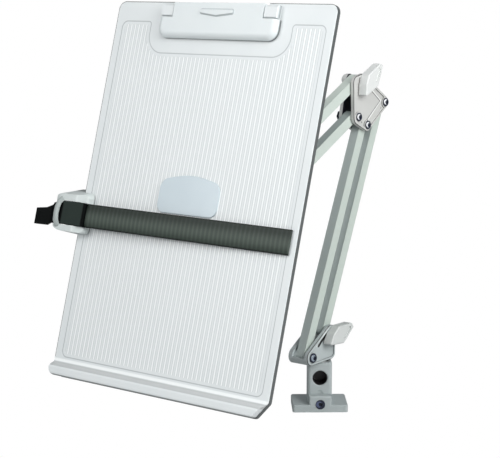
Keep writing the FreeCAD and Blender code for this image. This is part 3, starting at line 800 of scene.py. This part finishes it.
@dataclass(frozen=True)
class HeadFinish(Finish):
    """Screw heads with a painted highlight round the dark socket and painted shade down one side.

    Args:
        centres: points on the heads' axes, in the finish's space.
        radius: radius of a head.
        keep: 1 for the axes across the heads, 0 for the axis that the screws lie along.
        ring: colour of the painted highlight.
        shift: how far the painted highlight's round lies aside, which leaves painted shade down one side, as
            shares of the radius.
        socket: radius of the dark socket, as a share of the head's radius.
        bright: radius of the painted highlight's round, as such a share.
        soft: softness of both, as such a share.
    """

    centres: tuple[Vector, ...] = ()
    radius: float = 4.1 * MM
    keep: Point = (0.0, 1.0, 1.0)
    ring: Colour = (0.86, 0.88, 0.90)
    shift: Point = (0.0, -0.30, 0.10)
    socket: float = 0.38
    bright: float = 0.64
    soft: float = 0.04

    def tint(self, graph: Graph, vector: Signal) -> Signal:
        """Colour with a painted highlight between the socket and the side with painted shade.

        Args:
            graph: the material's graph.
            vector: coordinates in the finish's space.

        Returns:
            The colour.
        """
        plain = super().tint(graph, vector)
        flat = graph.stretched(vector, self.keep)
        socket = self.off(graph, flat, Vector()).below(self.socket, self.soft)
        shade = self.off(graph, flat, Vector(self.shift) * self.radius).above(self.bright, self.soft)
        return graph.blend(socket.most(shade), self.ring, plain)

    def off(self, graph: Graph, flat: Signal, shift: Vector) -> Signal:
        """Distance from the nearest head's axis, as a share of the head's radius.

        Args:
            graph: the material's graph.
            flat: coordinates without those along the axis.
            shift: how far the axis is moved aside.

        Returns:
            The share.
        """
        away = graph.near(flat, self.centres[0] + shift)
        for centre in self.centres[1:]:
            away = away.least(graph.near(flat, centre + shift))
        return away / self.radius

    def extras(self, graph: Graph, vector: Signal) -> dict[str, Any]:
        """A satin surface."""
        return {"Specular IOR Level": 0.3}


@dataclass(frozen=True)
class TabbedFinish(Finish):
    """Black moulding that is deepest in colour at its finger tab, with painted shade beside the band and at
    the strip's end.

    Args:
        deep: its deepest colour, on the tab and in the painted shade.
        fade: width over which it deepens towards the tab, in metres.
        slot: place across the board of the painted shade beside the band.
        slot_fade: width over which that painted shade ends.
        lip: place across the board of the lip that holds the strip, from where painted shade covers it.
        lip_soft: softness of the edge of the painted shade at the lip.
    """

    deep: Colour = (0.003, 0.004, 0.004)
    fade: float = 6.0 * MM
    slot: float = -131.4 * MM
    slot_fade: float = 1.4 * MM
    lip: float = -107.5 * MM
    lip_soft: float = 0.6 * MM

    def tint(self, graph: Graph, vector: Signal) -> Signal:
        """Colour that deepens towards the tab, with painted shade beside the band and at the strip.

        Args:
            graph: the material's graph.
            vector: board coordinates.

        Returns:
            The colour.
        """
        plain = super().tint(graph, vector)
        across = graph.axis(vector, "X")
        tab = 1.0 - across.step(TAB_ROOT - self.fade, TAB_ROOT)
        slot = 1.0 - across.step(self.slot, self.slot + self.slot_fade)
        lip = across.above(self.lip, self.lip_soft)
        return graph.blend(tab.most(slot).most(lip), plain, self.deep)

    def extras(self, graph: Graph, vector: Signal) -> dict[str, Any]:
        """A dull surface."""
        return {"Specular IOR Level": 0.03}


@dataclass(frozen=True)
class SmokedFinish(Finish):
    """Smoked see-through strip, with painted shade along both long edges, a painted lighter band below its
    middle and painted streaks of the ribs seen through it.

    Args:
        light: colour of the painted lighter band below its middle.
        seen: colour of the painted streaks of the ribs seen through it.
        drop: how far below the middle the painted lighter band is lightest, in metres.
        glow: shares of its half height between which the painted lighter band fades.
        rims: shares between which the painted shade at its edges sets in.
        covered: shares between which it turns from its middle's cover to its rims' cover.
        streaks: shares of half a rib's pitch between which a rib's painted streak ends.
        streak_depth: strength of the painted streaks.
        streak_least: share of that strength at the edges.
        cover: share of light that its middle stops.
        rim_cover: share of light that its rims stop.
    """

    light: Colour = (0.058, 0.076, 0.063)
    seen: Colour = (0.128, 0.156, 0.136)
    drop: float = 2.2 * MM
    glow: Reach = (0.05, 0.95)
    rims: Reach = (0.86, 0.97)
    covered: Reach = (0.70, 0.97)
    streaks: Reach = (0.1, 0.7)
    streak_depth: float = 0.30
    streak_least: float = 0.25
    cover: float = 0.92
    rim_cover: float = 0.98

    def tint(self, graph: Graph, vector: Signal) -> Signal:
        """Colour with a painted lighter band below the middle, painted shade at the rims and a painted streak
        over each rib.

        Args:
            graph: the material's graph.
            vector: board coordinates counted from the strip's middle line.

        Returns:
            The colour.
        """
        height = graph.axis(vector, "Z")
        glow = 1.0 - ((height + self.drop).size() / STRIP_HALF).step(*self.glow)
        rims = (height.size() / STRIP_HALF).step(*self.rims)
        body = graph.blend(glow, self.colour, self.light)
        off = graph.axis(vector, "X").from_comb(RIB_PITCH) * 2.0
        lines = (1.0 - off.step(*self.streaks)) * (self.streak_least + (1.0 - self.streak_least) * glow)
        streaked = graph.blend(lines * self.streak_depth, body, self.seen)
        # The rims take the finish's second colour as painted shade
        return graph.blend(rims, streaked, self.shade)

    def extras(self, graph: Graph, vector: Signal) -> dict[str, Any]:
        """Slight see-through, less of it at the rims."""
        rims = (graph.axis(vector, "Z").size() / STRIP_HALF).step(*self.covered)
        return {"Alpha": rims * (self.rim_cover - self.cover) + self.cover, "Specular IOR Level": 0.12}


# Skins: roughness, its spread, size of the grain, depth of the grain
BOARD_SKIN = Skin(0.40, 0.05, 0.9 * MM, 0.012 * MM)
CLIP_SKIN = Skin(0.36, 0.05, 0.9 * MM, 0.010 * MM)
SHELL_SKIN = Skin(0.50, 0.07, 0.7 * MM, 0.030 * MM)
PLAQUE_SKIN = Skin(0.30, 0.04, 0.8 * MM, 0.006 * MM)
CARRIAGE_SKIN = Skin(0.34, 0.05, 0.8 * MM, 0.008 * MM)
BOW_SKIN = Skin(0.36, 0.05, 0.8 * MM, 0.008 * MM)
HOLDER_SKIN = Skin(0.40, 0.06, 0.7 * MM, 0.020 * MM)
STRIP_SKIN = Skin(0.30, 0.04, 1.2 * MM, 0.006 * MM)
LEVER_SKIN = Skin(0.42, 0.05, 0.8 * MM, 0.004 * MM)
BAR_SKIN = Skin(0.42, 0.05, 0.6 * MM, 0.005 * MM)
PLATE_SKIN = Skin(0.46, 0.06, 0.7 * MM, 0.008 * MM)
CAST_SKIN = Skin(0.50, 0.08, 0.9 * MM, 0.020 * MM)
DARK_STEEL_SKIN = Skin(0.28, 0.08, 0.5 * MM, 0.010 * MM)
BRIGHT_STEEL_SKIN = Skin(0.30, 0.08, 0.4 * MM, 0.010 * MM)

# Colours that several finishes share
CAST_GREY = (0.47, 0.52, 0.52)
CAST_SHADE = (0.43, 0.48, 0.48)
BAR_GREEN = (0.60, 0.67, 0.62)
BAR_SHADE = (0.55, 0.62, 0.57)
DARK_BLUE = (0.028, 0.034, 0.055)
DARK_SHADE = (0.018, 0.020, 0.032)
# The pale colour is a painted highlight, and the near black and grey ones are painted shade, for the lines on
# the elbow's plate
HIGHLIGHT_PALE = (0.86, 0.87, 0.85)
SHADE_BLACK = (0.03, 0.03, 0.03)
SHADE_GREY = (0.16, 0.16, 0.16)
CAST_METAL = 0.15
ALONG_BAR = (1.0, 1.0, 0.08)


def across_plate(y: float, z: float) -> Vector:
    """Point on a plate's face, from millimetres."""
    return Vector((0, y, z)) * MM


# Painted highlight along the yoke plate's rim, with a painted shadow under the lever drawn over it
YOKE_HIGHLIGHT_SHADE_LINES = (
    PaintedLine(across_plate(-17.6, 63.8), across_plate(-2.0, 78.5), 1.2 * MM, (0.66, 0.70, 0.69)),
    PaintedLine(across_plate(-14.6, 63.3), across_plate(-0.4, 74.9), 1.5 * MM, (0.012, 0.012, 0.014)),
)
# Pale painted highlights and dark painted shade along the edges of the elbow plate's sunk middle, then two
# short grey dots
ELBOW_HIGHLIGHT_SHADE_LINES = (
    PaintedLine(across_plate(69.9, 299.0), across_plate(85.9, 287.0), 0.6 * MM, HIGHLIGHT_PALE),
    PaintedLine(across_plate(85.9, 287.0), across_plate(62.6, 268.2), 0.6 * MM, HIGHLIGHT_PALE),
    PaintedLine(across_plate(69.9, 297.5), across_plate(84.6, 286.8), 0.35 * MM, SHADE_BLACK),
    PaintedLine(across_plate(84.6, 286.8), across_plate(61.3, 269.1), 0.35 * MM, SHADE_GREY),
    PaintedLine(across_plate(53.8, 268.6), across_plate(54.6, 268.0), 0.5 * MM, SHADE_GREY),
    PaintedLine(across_plate(86.4, 280.4), across_plate(86.4, 279.6), 0.6 * MM, SHADE_GREY),
)


class Look(Enum):
    """Every finish on the object."""

    # Board plastic with painted highlights and painted shade on its ribs, border, ledge and lug walls
    BOARD = RibbedFinish("board_plastic", (0.72, 0.755, 0.76), (0.69, 0.73, 0.735), BOARD_SKIN,
                         space=Space.BOARD)
    # Painted shadow where the clip meets the board, and painted shade on the slopes of its raised grip
    CLIP = RimmedFinish("clip_plastic", (0.70, 0.745, 0.75), (0.67, 0.72, 0.73), CLIP_SKIN, space=Space.BOARD,
                        raised=(-7.9 * MM, -6.6 * MM))
    SHELL = Finish("shell_plastic", (0.10, 0.11, 0.11), (0.08, 0.09, 0.09), SHELL_SKIN, space=Space.BOARD)
    PLAQUE = Finish("plaque_plastic", (0.535, 0.62, 0.66), (0.50, 0.585, 0.63), PLAQUE_SKIN, coat=0.3,
                    space=Space.BOARD)
    # Painted shade on the carriage towards and behind the board
    CARRIAGE = RimmedFinish("carriage_plastic", (0.60, 0.65, 0.64), (0.55, 0.60, 0.59), CARRIAGE_SKIN,
                            space=Space.BOARD, dark=(0.22, 0.25, 0.24), reach=(-1.0 * MM, 7.0 * MM))
    BOW = Finish("bow_plastic", (0.38, 0.42, 0.41), (0.34, 0.38, 0.37), BOW_SKIN)
    # Black holder with painted shade beside the band and at the lip by the strip
    HOLDER = TabbedFinish("holder_plastic", (0.026, 0.036, 0.032), (0.020, 0.029, 0.026), HOLDER_SKIN,
                          space=Space.BOARD)
    # Smoked strip whose second colour is the painted shade at its rims
    STRIP = SmokedFinish("strip_plastic", (0.020, 0.028, 0.023), (0.005, 0.007, 0.006), STRIP_SKIN,
                         space=Space.BOARD, centre=(0.0, 0.0, GUIDE_HEIGHT), wander=90.0)
    LEVER = Finish("lever_plastic", (0.64, 0.665, 0.65), (0.60, 0.63, 0.615), LEVER_SKIN)
    # A copy of the lever plastic made lighter, as painted light where more light falls on the elbow's lever
    LIT_LEVER = Finish("lever_plastic_painted_light", (0.77, 0.79, 0.775), (0.73, 0.75, 0.735), LEVER_SKIN)
    # Bar paint with painted shade on the narrow sides
    LOWER_BARS = BarFinish("lower_arm_paint", (0.58, 0.65, 0.60), (0.53, 0.60, 0.55), BAR_SKIN,
                           space=Space.LOWER_BARS, streak=ALONG_BAR)
    # The top bar's paint, with deeper painted shade on the sides where the top bar shades it
    LOW_BAR = BarFinish("upper_low_bar_paint", BAR_GREEN, BAR_SHADE, BAR_SKIN, space=Space.UPPER_BARS,
                        streak=ALONG_BAR, side=(0.34, 0.39, 0.38))
    TOP_BAR = Finish("upper_arm_paint", BAR_GREEN, BAR_SHADE, BAR_SKIN, space=Space.UPPER_BARS,
                     streak=ALONG_BAR)
    # Elbow plate with painted shade on its sunk middle's walls and painted highlight and shade lines
    NEAR_PLATE = SunkFinish("near_plate_paint", (0.60, 0.605, 0.585), (0.57, 0.575, 0.555), PLATE_SKIN,
                            painted_lines=ELBOW_HIGHLIGHT_SHADE_LINES)
    FAR_PLATE = FarPlateFinish("far_plate_paint", (0.58, 0.59, 0.58), (0.54, 0.55, 0.54), PLATE_SKIN)
    HEAD_PLATES = Finish("plate_paint", (0.64, 0.645, 0.625), (0.60, 0.605, 0.585), PLATE_SKIN)
    CASTING = Finish("casting_paint", CAST_GREY, CAST_SHADE, CAST_SKIN, CAST_METAL)
    # Post casting with painted shade inside its bore
    POST = BoredFinish("post_paint", CAST_GREY, CAST_SHADE, CAST_SKIN, CAST_METAL, space=Space.BORE)
    # Yoke plate with painted shade on its sunk middle's walls, a painted highlight on its rim and a painted
    # shadow under the lever
    YOKE_PLATE = SunkFinish("yoke_plate_paint", CAST_GREY, CAST_SHADE, CAST_SKIN, line=(0.06, 0.06, 0.06),
                            reach=(YOKE_FACE - 10 * HAIR, YOKE_FACE - 2 * HAIR), painted_lines=YOKE_HIGHLIGHT_SHADE_LINES)
    # Dark steel bolt heads with a painted highlight round the socket and painted shade down one side
    ELBOW_HEADS = HeadFinish("elbow_heads", DARK_BLUE, DARK_SHADE, DARK_STEEL_SKIN,
                             centres=(PIVOTS["elbow_low"], PIVOTS["elbow_high"], PIVOTS["elbow_rear"]))
    YOKE_HEAD = HeadFinish("yoke_head", DARK_BLUE, DARK_SHADE, DARK_STEEL_SKIN, centres=(PIVOTS["yoke"],),
                           radius=4.6 * MM, ring=(0.27, 0.32, 0.38))
    FOOT_HEAD = HeadFinish("foot_head", DARK_BLUE, DARK_SHADE, DARK_STEEL_SKIN, space=Space.BORE,
                           centres=(Vector((0, 0, FOOT_SCREW_HEIGHT - BORE_HEIGHT)),), radius=4.5 * MM,
                           keep=(1.0, 0.0, 1.0), ring=(0.10, 0.12, 0.20), shift=(-0.30, 0.0, 0.10))
    DARK_STEEL = Finish("dark_steel", DARK_BLUE, DARK_SHADE, DARK_STEEL_SKIN, 0.7)
    BRIGHT_STEEL = Finish("bright_steel", (0.50, 0.51, 0.51), (0.42, 0.43, 0.43), BRIGHT_STEEL_SKIN, 1.0)


class Finishes:
    """Makes each finish once and puts it on nodes."""

    def __init__(self) -> None:
        """Start with no finish made."""
        self._made: dict[Look, bpy.types.Material] = {}

    def material(self, look: Look) -> bpy.types.Material:
        """The material of a look.

        Args:
            look: which look.

        Returns:
            Its material, the same one each time.
        """
        if look not in self._made:
            self._made[look] = look.value.build()
        return self._made[look]

    def put(self, thing: bpy.types.Object, look: Look) -> None:
        """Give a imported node, or a piece made here, one look."""
        thing.data.materials.clear()
        thing.data.materials.append(self.material(look))


@dataclass
class SubAssembly:
    """A body of the object and what its nodes look like.

    Args:
        body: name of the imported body.
        looks: look of each node.
    """

    body: str
    looks: dict[str, Look]

    def build(self, frame: dict[str, Any], finishes: Finishes) -> int:
        """Dress the nodes.

        Args:
            frame: the loaded frame.
            finishes: the finishes.

        Returns:
            How many nodes were dressed.
        """
        for node, look in self.looks.items():
            finishes.put(frame["nodes"][node], look)
        return len(self.looks)


BODIES: tuple[SubAssembly, ...] = (
    SubAssembly("base", {
        "foot_plate": Look.CASTING, "swivel_post": Look.POST, "foot_screw": Look.FOOT_HEAD,
        "swivel_washer": Look.BRIGHT_STEEL, "swivel_bolt": Look.BRIGHT_STEEL}),
    SubAssembly("yoke", {
        "yoke_casting": Look.CASTING, "yoke_near_plate": Look.YOKE_PLATE, "yoke_pivot_bolt": Look.YOKE_HEAD,
        "base_clamp_bolt": Look.BRIGHT_STEEL}),
    SubAssembly("base_lever", {"base_clamp_lever": Look.LEVER}),
    SubAssembly("lower_front_arm", {"lower_front_bar": Look.LOWER_BARS}),
    SubAssembly("lower_rear_arm", {"lower_rear_bar": Look.LOWER_BARS}),
    SubAssembly("elbow", {
        "elbow_near_plate": Look.NEAR_PLATE, "elbow_far_plate": Look.FAR_PLATE,
        "elbow_pivot_bolts": Look.ELBOW_HEADS, "elbow_rear_pivot_bolt": Look.ELBOW_HEADS,
        "elbow_nuts": Look.DARK_STEEL, "elbow_clamp_bolt": Look.LEVER}),
    SubAssembly("elbow_lever", {"elbow_clamp_lever": Look.LIT_LEVER}),
    SubAssembly("upper_low_arm", {"upper_low_bar": Look.LOW_BAR}),
    SubAssembly("upper_top_arm", {"upper_top_bar": Look.TOP_BAR}),
    SubAssembly("head", {
        "head_near_plate": Look.HEAD_PLATES, "head_far_plate": Look.HEAD_PLATES,
        "head_low_pivot_bolt": Look.DARK_STEEL, "head_top_pivot_bolt": Look.DARK_STEEL,
        "head_nuts": Look.BRIGHT_STEEL, "tilt_bolt": Look.DARK_STEEL, "tilt_nut": Look.BRIGHT_STEEL}),
    SubAssembly("board", {
        "board_bracket": Look.CASTING, "bracket_screws": Look.DARK_STEEL, "back_shell": Look.SHELL,
        "front_panel": Look.BOARD, "name_plaque": Look.PLAQUE, "clip_pin": Look.BRIGHT_STEEL}),
    SubAssembly("clip", {"clip_plate": Look.CLIP, "clip_spring": Look.BRIGHT_STEEL}),
    SubAssembly("carriage", {"guide_carriage": Look.CARRIAGE, "guide_pin": Look.BRIGHT_STEEL}),
    SubAssembly("guide", {
        "strip_holder": Look.HOLDER, "guide_strip": Look.STRIP, "guide_spring": Look.BRIGHT_STEEL}),
)


@dataclass
class CarriageBow:
    """Light band that joins the carriage's two cheeks in front of the black holder.

    Args:
        body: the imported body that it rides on.
        stations: place on the board of the band's middle, from its upper end to its lower end.
        half_width: half of its width across the board, in metres.
        half_thickness: half of its thickness, in metres.
        sides: corners of its rounded cross-section.
    """

    body: str = "carriage"
    stations: Sequence[Point] = (
        (-0.1318, -0.0098, 0.1445), (-0.1334, -0.0130, 0.1430), (-0.1350, -0.0148, 0.1395),
        (-0.1360, -0.0152, 0.1345), (-0.1363, -0.0152, 0.1290), (-0.1358, -0.0150, 0.1235),
        (-0.1345, -0.0136, 0.1192), (-0.1328, -0.0100, 0.1172))
    half_width: float = 3.0 * MM
    half_thickness: float = 1.1 * MM
    sides: int = 16

    def section(self, index: int) -> Matrix:
        """Place, turn and size of one cross-section.

        Args:
            index: which station it stands at.

        Returns:
            Matrix that carries a circle of radius 1 to it.
        """
        before = Vector(self.stations[max(index - 1, 0)])
        after = Vector(self.stations[min(index + 1, len(self.stations) - 1)])
        along = (after - before).normalized()
        across = Vector((0, 1, 0)).cross(along).normalized()
        turn = Matrix((across, along.cross(across), along)).transposed().to_4x4()
        size = Matrix.Diagonal((self.half_width, self.half_thickness, 1.0, 1.0))
        place = Matrix.Translation(Vector(self.stations[index]))
        return SPACE_MATRICES[Space.BOARD] @ place @ turn @ size

    def build(self, finishes: Finishes) -> bpy.types.Object:
        """Make the band and let it ride.

        Args:
            finishes: the finishes.

        Returns:
            The band.
        """
        shape = bmesh.new()
        last: list[bmesh.types.BMEdge] = []
        for index in range(len(self.stations)):
            ring = bmesh.ops.create_circle(shape, cap_ends=False, radius=1.0, segments=self.sides,
                                           matrix=self.section(index))
            edges = list({edge for vertex in ring["verts"] for edge in vertex.link_edges})
            if last:
                bmesh.ops.bridge_loops(shape, edges=last + edges)
            last = edges
        open_edges = [edge for edge in shape.edges if edge.is_boundary]
        bmesh.ops.holes_fill(shape, edges=open_edges, sides=self.sides)
        bmesh.ops.recalc_face_normals(shape, faces=shape.faces)
        for face in shape.faces:
            face.smooth = True
        mesh = bpy.data.meshes.new("carriage_bow")
        shape.to_mesh(mesh)
        shape.free()
        bow = bpy.data.objects.new("carriage_bow", mesh)
        bpy.context.scene.collection.objects.link(bow)
        finishes.put(bow, Look.BOW)
        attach(bow, self.body)
        return bow


@dataclass(frozen=True)
class SoftLight:
    """One soft rectangular light.

    Args:
        name: its name.
        place: where it hangs.
        aim: the point it faces.
        width: its width in metres.
        height: its height in metres.
        power: its power in watts.
    """

    name: str
    place: Point
    aim: Point
    width: float
    height: float
    power: float

    def build(self) -> None:
        """Hang the light."""
        data = bpy.data.lights.new(self.name, "AREA")
        data.shape = "RECTANGLE"
        data.size = self.width
        data.size_y = self.height
        data.energy = self.power
        light = bpy.data.objects.new(self.name, data)
        light.location = self.place
        light.rotation_euler = (Vector(self.aim) - Vector(self.place)).to_track_quat("-Z", "Y").to_euler()
        bpy.context.scene.collection.objects.link(light)


@dataclass
class Studio:
    """White surroundings, soft lights and the camera at the photograph's angle.

    Args:
        azimuth: way round from the front to the camera, in degrees.
        pitch: how far the camera looks down, in degrees.
        position: the camera's place in metres.
        lens: focal length in millimetres.
        sensor: width of the camera's sensor in millimetres.
        nearest: shortest distance that the camera sees, in metres.
        lights: the soft lights.
        sky: colour of the even light from all round.
        sky_strength: strength of that light.
        floor_half: half of the floor's width, in metres.
        floor_grey: lightness of the floor under the lights.
    """

    azimuth: float = 38.861
    pitch: float = 8.962
    position: Point = (0.87818, -1.19470, 0.40502)
    lens: float = 115.2
    sensor: float = 36.0
    nearest: float = 0.05
    lights: Sequence[SoftLight] = field(default_factory=lambda: (
        SoftLight("side_light", (1.45, -0.3, 0.88), (0.0, -0.1, 0.22), 1.0, 1.0, 22.5),
        SoftLight("front_light", (-0.9, -2.1, 1.2), (0.0, -0.1, 0.2), 1.4, 1.2, 24.3),
        SoftLight("near_light", (0.35, -0.55, 0.75), (0.08, -0.08, 0.28), 0.3, 0.3, 1.3),
    ))
    sky: Colour = (0.93, 0.96, 1.0)
    sky_strength: float = 0.24
    floor_half: float = 3.0
    floor_grey: float = 0.60

    def build(self) -> None:
        """Make the world, floor, lights and camera."""
        self._world()
        self._floor()
        for light in self.lights:
            light.build()
        self._camera()

    def _world(self) -> None:
        """Even grey light from all round, plain white to the camera."""
        world = bpy.data.worlds.new("surroundings")
        graph = Graph(world)
        sockets = {"Color": (*self.sky, 1.0), "Strength": self.sky_strength}
        lit = graph.node("ShaderNodeBackground", sockets=sockets)
        white = graph.node("ShaderNodeBackground", sockets={"Color": WHITE, "Strength": 1.0})
        graph.white_to_camera(lit, white, "ShaderNodeOutputWorld")
        bpy.context.scene.world = world

    def _floor(self) -> None:
        """Plain pale floor under the foot, white to the camera."""
        mesh = bpy.data.meshes.new("floor")
        shape = bmesh.new()
        bmesh.ops.create_grid(shape, x_segments=1, y_segments=1, size=self.floor_half)
        shape.to_mesh(mesh)
        shape.free()
        floor = bpy.data.objects.new("floor", mesh)
        bpy.context.scene.collection.objects.link(floor)
        paper = bpy.data.materials.new("floor_paper")
        graph = Graph(paper)
        grey = (self.floor_grey, self.floor_grey, self.floor_grey, 1.0)
        lit = graph.node("ShaderNodeBsdfDiffuse", sockets={"Color": grey})
        white = graph.node("ShaderNodeEmission", sockets={"Color": WHITE, "Strength": 1.0})
        graph.white_to_camera(lit, white, "ShaderNodeOutputMaterial")
        mesh.materials.append(paper)

    def _camera(self) -> None:
        """The camera that sees what the photograph shows."""
        data = bpy.data.cameras.new("camera")
        data.lens = self.lens
        data.sensor_width = self.sensor
        data.clip_start = self.nearest
        camera = bpy.data.objects.new("camera", data)
        camera.location = self.position
        camera.rotation_euler = Euler((math.radians(90 - self.pitch), 0, math.radians(self.azimuth)))
        bpy.context.scene.collection.objects.link(camera)
        bpy.context.scene.camera = camera
        bpy.context.scene.view_settings.view_transform = "Standard"


def main() -> None:
    """Build everything in order and report it."""
    logging.basicConfig(level=logging.INFO, format="%(name)s: %(message)s")
    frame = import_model()
    finishes = Finishes()
    for assembly in BODIES:
        count = assembly.build(frame, finishes)
        LOG.info("%s: %d nodes dressed", assembly.body, count)
    bow = CarriageBow().build(finishes)
    LOG.info("%s added", bow.name)
    Studio().build()
    LOG.info("studio ready")


if __name__ == "__main__":
    main()
